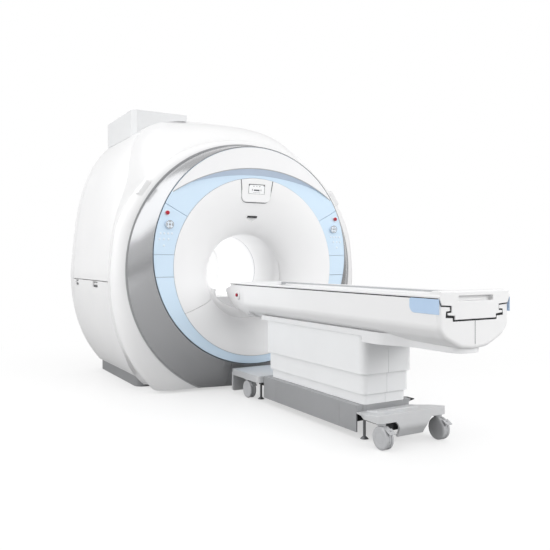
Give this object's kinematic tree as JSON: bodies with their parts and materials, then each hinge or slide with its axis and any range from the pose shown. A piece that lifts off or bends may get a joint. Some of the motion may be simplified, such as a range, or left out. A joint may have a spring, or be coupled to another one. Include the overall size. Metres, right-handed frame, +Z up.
{
  "type": "mri scanner",
  "caption": "Closed-bore magnetic resonance scanner: drum-shaped gantry with a flared patient bore and a docked, height-adjustable patient table on swivel casters.",
  "frame": {"origin": "on the floor, under the middle of the object, below the axis of the bore", "axes": "+Z up, +Y from the free end of the table into the bore, +X to the right of someone standing at the free end and facing the bore"},
  "size_m": [2.1791, 3.78, 2.262],
  "materials": {
    "shell_white": "satin white moulded cover",
    "band_silver": "semi-gloss silver grey paint",
    "panel_blue": "satin pale blue",
    "button_red": "gloss red",
    "button_blue": "satin pale blue",
    "window_dark": "dark smoked window",
    "screen_white": "lit display face",
    "turret_gray": "matt light grey paint",
    "plinth_gray": "matt grey paint",
    "vessel_steel": "welded stainless",
    "coil_resin": "potted copper and resin",
    "head_metal": "machined",
    "base_gray": "satin grey paint",
    "plate_silver": "silver grey paint",
    "chassis_dark": "black powder coat",
    "shroud_gray": "satin light grey",
    "column_metal": "ground steel",
    "caster_gray": "grey nylon",
    "wheel_gray": "grey non-marking tread",
    "pad_blue": "soft blue bumper"
  },
  "bodies": {
    "gantry": {"ring_top": "panel_blue", "ring_bottom": "panel_blue", "panel_left": "panel_blue", "panel_right": "panel_blue", "visor": "shell_white", "silver_band": "band_silver", "dock_panel": "band_silver", "front_rim": "shell_white", "front_shoulder": "shell_white", "side_upper_left": "shell_white", "side_lower_left": "shell_white", "side_upper_right": "shell_white", "side_lower_right": "shell_white", "top_cover": "shell_white", "rear_cover": "shell_white", "turret_cover": "turret_gray", "plinth": "plinth_gray", "funnel_upper": "shell_white", "funnel_lower": "shell_white", "bore_liner": "shell_white", "bore_bridge": "shell_white", "display_housing": "shell_white", "display_screen": "screen_white", "marker_window": "window_dark", "vacuum_vessel": "vessel_steel", "magnet_feet": "vessel_steel", "gradient_coil": "coil_resin", "cold_head": "head_metal"},
    "stop_left": {"stop_left": "button_red"},
    "stop_right": {"stop_right": "button_red"},
    "jog_left": {"jog_left": "button_blue"},
    "jog_right": {"jog_right": "button_blue"},
    "table_base": {"chassis": "chassis_dark", "base_skirt": "base_gray", "end_plate_free": "plate_silver", "end_plate_dock": "plate_silver", "shroud_low": "shroud_gray", "levelling_feet": "column_metal"},
    "shroud_mid": {"shroud_mid": "shroud_gray"},
    "table_beam": {"shroud_top": "shroud_gray", "table_beam": "shell_white", "nose_cap": "shell_white", "table_pan": "shell_white", "bumper_pads": "pad_blue", "lift_columns": "column_metal"},
    "tabletop": {"tabletop": "shell_white"},
    "table_stop": {"table_stop": "button_red"},
    "release_pedal": {"release_pedal": "base_gray"},
    "caster_free_left": {"caster_body_free_left": "caster_gray"},
    "wheels_free_left": {"wheels_free_left": "wheel_gray"},
    "brake_free_left": {"brake_lever_free_left": "caster_gray"},
    "caster_free_right": {"caster_body_free_right": "caster_gray"},
    "wheels_free_right": {"wheels_free_right": "wheel_gray"},
    "brake_free_right": {"brake_lever_free_right": "caster_gray"},
    "caster_dock_left": {"caster_body_dock_left": "caster_gray"},
    "wheels_dock_left": {"wheels_dock_left": "wheel_gray"},
    "brake_dock_left": {"brake_lever_dock_left": "caster_gray"},
    "caster_dock_right": {"caster_body_dock_right": "caster_gray"},
    "wheels_dock_right": {"wheels_dock_right": "wheel_gray"},
    "brake_dock_right": {"brake_lever_dock_right": "caster_gray"}
  },
  "joints": [
    {"name": "table_roll_out", "type": "slide", "parent": "gantry", "child": "table_base", "axis": [0, 1, 0], "range_m": [-1.2, 0]},
    {"name": "table_lift", "type": "slide", "parent": "table_base", "child": "table_beam", "axis": [0, 0, 1], "range_m": [-0.14, 0.08]},
    {"name": "mid_shroud_lift", "type": "slide", "parent": "table_base", "child": "shroud_mid", "axis": [0, 0, 1], "range_m": [-0.058, 0.034]},
    {"name": "tabletop_travel", "type": "slide", "parent": "table_beam", "child": "tabletop", "axis": [0, 1, 0], "range_m": [0, 1.6]},
    {"name": "stop_left_push", "type": "slide", "parent": "gantry", "child": "stop_left", "axis": [0, 1, 0], "range_m": [0, 0.005], "stiffness_N_per_m": 400},
    {"name": "jog_left_push", "type": "slide", "parent": "gantry", "child": "jog_left", "axis": [0, 1, 0], "range_m": [0, 0.004], "stiffness_N_per_m": 400},
    {"name": "stop_right_push", "type": "slide", "parent": "gantry", "child": "stop_right", "axis": [0, 1, 0], "range_m": [0, 0.005], "stiffness_N_per_m": 400},
    {"name": "jog_right_push", "type": "slide", "parent": "gantry", "child": "jog_right", "axis": [0, 1, 0], "range_m": [0, 0.004], "stiffness_N_per_m": 400},
    {"name": "table_stop_push", "type": "slide", "parent": "table_beam", "child": "table_stop", "axis": [1, 0, 0], "range_m": [0, 0.004], "stiffness_N_per_m": 400},
    {"name": "release_pedal_press", "type": "hinge", "parent": "table_base", "child": "release_pedal", "pos_m": [0.204, -1.16, 0.172], "axis": [0, 1, 0], "range_deg": [0, 10], "stiffness_Nm_per_rad": 4, "springref_deg": -5.16},
    {"name": "swivel_free_left", "type": "hinge", "parent": "table_base", "child": "caster_free_left", "pos_m": [-0.2015, -1.425, 0.13], "axis": [0, 0, 1], "continuous": true},
    {"name": "roll_free_left", "type": "hinge", "parent": "caster_free_left", "child": "wheels_free_left", "pos_m": [-0.2015, -1.44, 0.0625], "axis": [1, 0, 0], "continuous": true},
    {"name": "brake_free_left_press", "type": "hinge", "parent": "caster_free_left", "child": "brake_free_left", "pos_m": [-0.2015, -1.487, 0.1145], "axis": [1, 0, 0], "range_deg": [0, 12]},
    {"name": "swivel_free_right", "type": "hinge", "parent": "table_base", "child": "caster_free_right", "pos_m": [0.2015, -1.425, 0.13], "axis": [0, 0, 1], "continuous": true},
    {"name": "roll_free_right", "type": "hinge", "parent": "caster_free_right", "child": "wheels_free_right", "pos_m": [0.2015, -1.44, 0.0625], "axis": [1, 0, 0], "continuous": true},
    {"name": "brake_free_right_press", "type": "hinge", "parent": "caster_free_right", "child": "brake_free_right", "pos_m": [0.2015, -1.487, 0.1145], "axis": [1, 0, 0], "range_deg": [0, 12]},
    {"name": "swivel_dock_left", "type": "hinge", "parent": "table_base", "child": "caster_dock_left", "pos_m": [-0.2015, 0.075, 0.13], "axis": [0, 0, 1], "continuous": true},
    {"name": "roll_dock_left", "type": "hinge", "parent": "caster_dock_left", "child": "wheels_dock_left", "pos_m": [-0.2015, 0.06, 0.0625], "axis": [1, 0, 0], "continuous": true},
    {"name": "brake_dock_left_press", "type": "hinge", "parent": "caster_dock_left", "child": "brake_dock_left", "pos_m": [-0.2015, 0.013, 0.1145], "axis": [1, 0, 0], "range_deg": [0, 12]},
    {"name": "swivel_dock_right", "type": "hinge", "parent": "table_base", "child": "caster_dock_right", "pos_m": [0.2015, 0.075, 0.13], "axis": [0, 0, 1], "continuous": true},
    {"name": "roll_dock_right", "type": "hinge", "parent": "caster_dock_right", "child": "wheels_dock_right", "pos_m": [0.2015, 0.06, 0.0625], "axis": [1, 0, 0], "continuous": true},
    {"name": "brake_dock_right_press", "type": "hinge", "parent": "caster_dock_right", "child": "brake_dock_right", "pos_m": [0.2015, 0.013, 0.1145], "axis": [1, 0, 0], "range_deg": [0, 12]}
  ],
  "couplings": [
    {"joint": "mid_shroud_lift", "follows": "table_lift", "ratio": 0.4}
  ]
}
